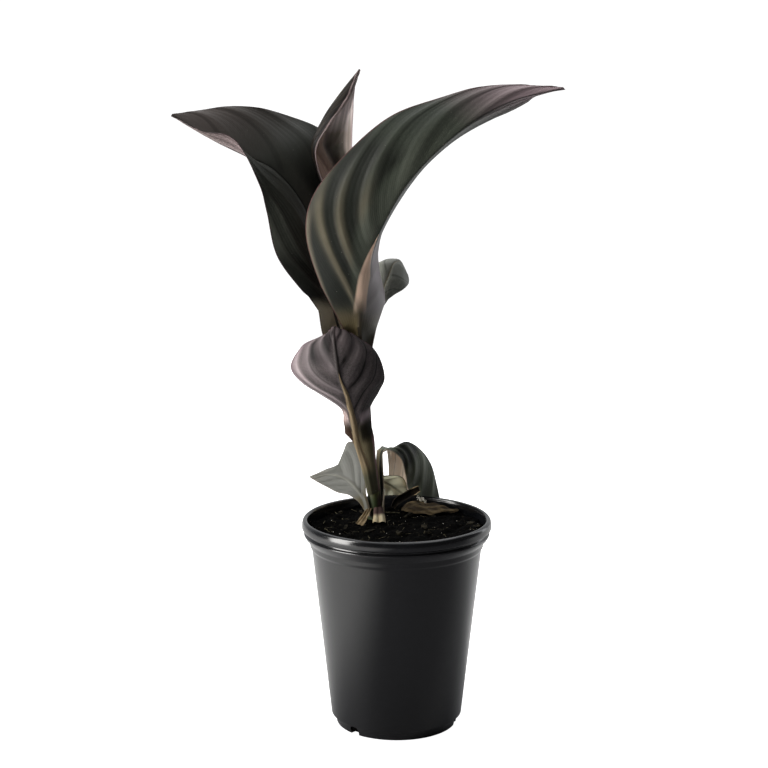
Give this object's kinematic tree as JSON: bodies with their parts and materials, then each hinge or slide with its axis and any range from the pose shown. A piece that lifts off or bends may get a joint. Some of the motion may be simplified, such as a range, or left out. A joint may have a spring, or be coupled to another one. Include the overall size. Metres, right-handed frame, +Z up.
{
  "type": "potted canna lily",
  "caption": "Young dark-leaved canna plant with pleated leaves, pseudostem and spear, standing in soil in a tapered black nursery pot.",
  "frame": {"origin": "centre of the pot's flat underside", "axes": "+Z up along the pot's axis, -Y towards the front, +X to the right where the longest leaf arches"},
  "size_m": [0.3405, 0.2046, 0.5862],
  "materials": {
    "pot_plastic": "black satin moulded plastic",
    "potting_soil": "dark moist potting mix with bark, matte",
    "stem_skin": "satin green sheath with purple edges",
    "leaf_dark": "satin dark green upper face, purple-grey underside",
    "leaf_purple": "satin purple-grey underside with tan midrib",
    "leaf_grey": "dull grey-green blade",
    "dried_sheath": "dry tan fibrous sheath",
    "dead_leaf": "dry brown crumpled leaf"
  },
  "bodies": {
    "root": {"pot": "pot_plastic", "soil": "potting_soil", "pseudostem": "stem_skin", "leaf_large_right": "leaf_dark", "leaf_large_left": "leaf_dark", "leaf_spear": "leaf_purple", "leaf_front_small": "leaf_purple", "leaf_back_small": "leaf_grey", "leaf_low_left": "leaf_grey", "leaf_low_right": "leaf_dark", "leaf_low_back": "leaf_grey", "dried_sheath_left": "dried_sheath", "dried_sheath_right": "dried_sheath", "dead_leaf": "dead_leaf", "dried_curl": "dead_leaf"}
  },
  "joints": []
}
